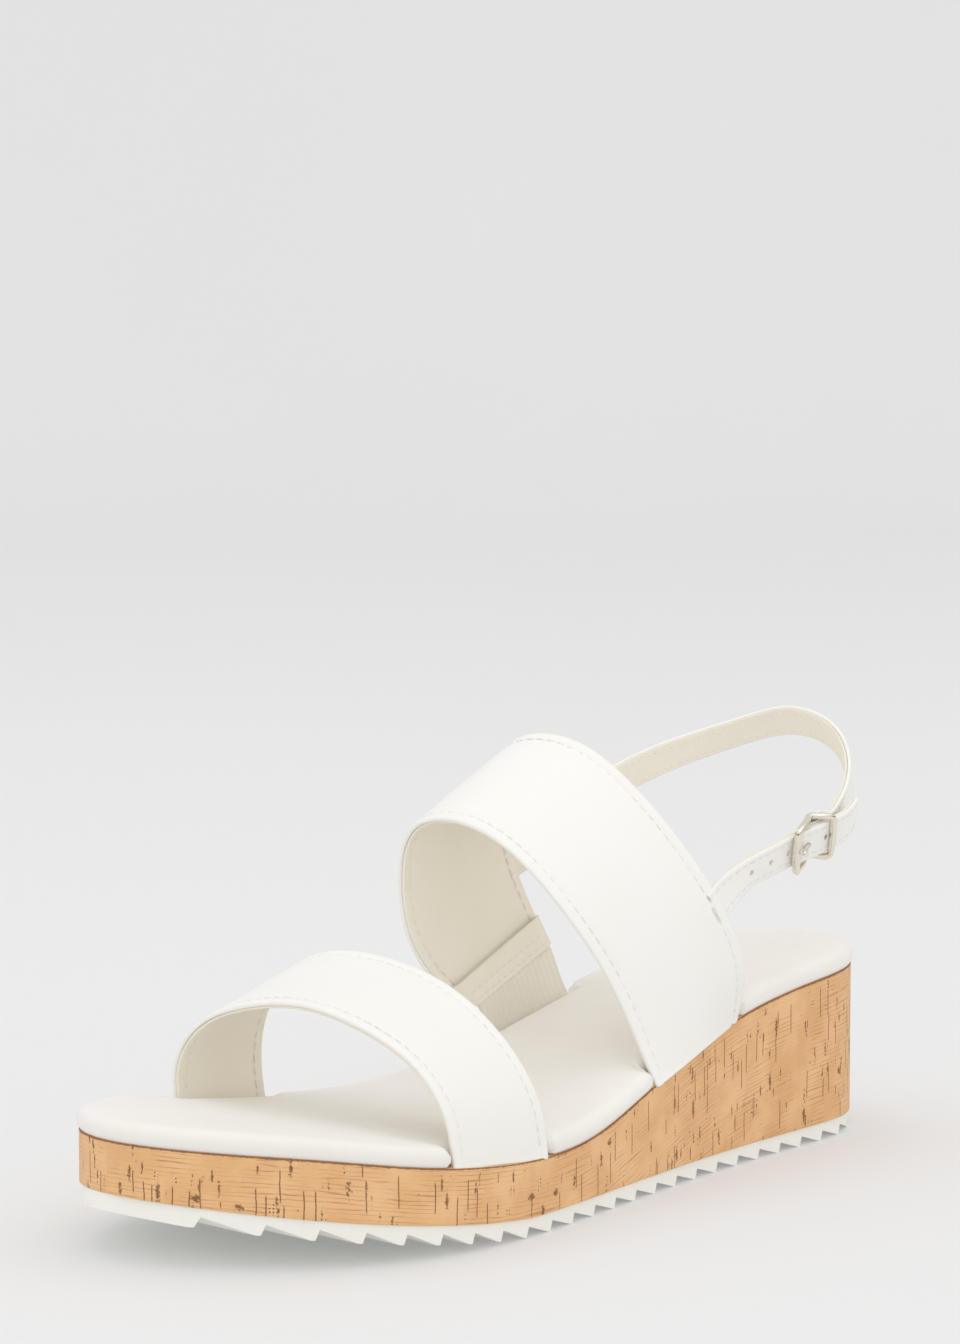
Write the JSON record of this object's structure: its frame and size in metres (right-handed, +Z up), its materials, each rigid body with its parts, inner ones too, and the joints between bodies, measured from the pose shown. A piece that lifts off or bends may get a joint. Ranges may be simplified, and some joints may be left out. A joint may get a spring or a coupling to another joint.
{
  "type": "wedge sandal",
  "caption": "Open-toe platform wedge sandal, left foot: two wide bands, cork-covered wedge, sawtooth sole and a slingback with a centre-bar buckle.",
  "frame": {"origin": "middle of the shoe's bounding box in plan, on the ground", "axes": "+Z up; the toe points along -Y and the heel along +Y; +X is the outer side, where the buckle is"},
  "size_m": [0.0918, 0.2528, 0.1103],
  "materials": {
    "outsole_rubber": "moulded, matt",
    "wedge_foam": "foam, hidden",
    "cork_veneer": "oiled cork veneer, satin",
    "fibre_board": "pressed fibre board, hidden",
    "footbed_foam": "soft foam, hidden",
    "footbed_leather": "smooth padded",
    "upper_leather": "smooth, fine grain",
    "lining": "matt lining",
    "elastic": "ribbed elastic",
    "strap_leather": "smooth, fine grain",
    "thread": "twisted thread",
    "buckle_metal": "polished nickel"
  },
  "bodies": {
    "sole_and_upper": {"outsole": "outsole_rubber", "wedge_core": "wedge_foam", "cork_wrap": "cork_veneer", "insole_board": "fibre_board", "footbed_foam": "footbed_foam", "footbed_cover": "footbed_leather", "vamp_band": "upper_leather", "vamp_lining": "lining", "instep_band": "upper_leather", "instep_lining": "lining", "instep_hem": "lining", "elastic_gore": "elastic", "sling_tab": "strap_leather", "billet_tab": "strap_leather", "bar_tacks": "thread"},
    "sling": {"sling_strap": "strap_leather", "sling_lining": "lining", "sling_turnback": "strap_leather", "billet_strap": "strap_leather", "billet_lining": "lining", "buckle_frame": "buckle_metal"},
    "prong": {"buckle_prong": "buckle_metal"}
  },
  "joints": [
    {"name": "sling_swing", "type": "hinge", "parent": "sole_and_upper", "child": "sling", "pos_m": [-0.03301, 0.04603, 0.0776], "axis": [0.983, 0.1392, -0.1195], "range_deg": [-32, 20], "stiffness_Nm_per_rad": 0.25},
    {"name": "prong_tilt", "type": "hinge", "parent": "sling", "child": "prong", "pos_m": [0.0285, 0.08256, 0.0826], "axis": [0.2759, -0.2238, 0.9348], "range_deg": [0, 25]}
  ]
}
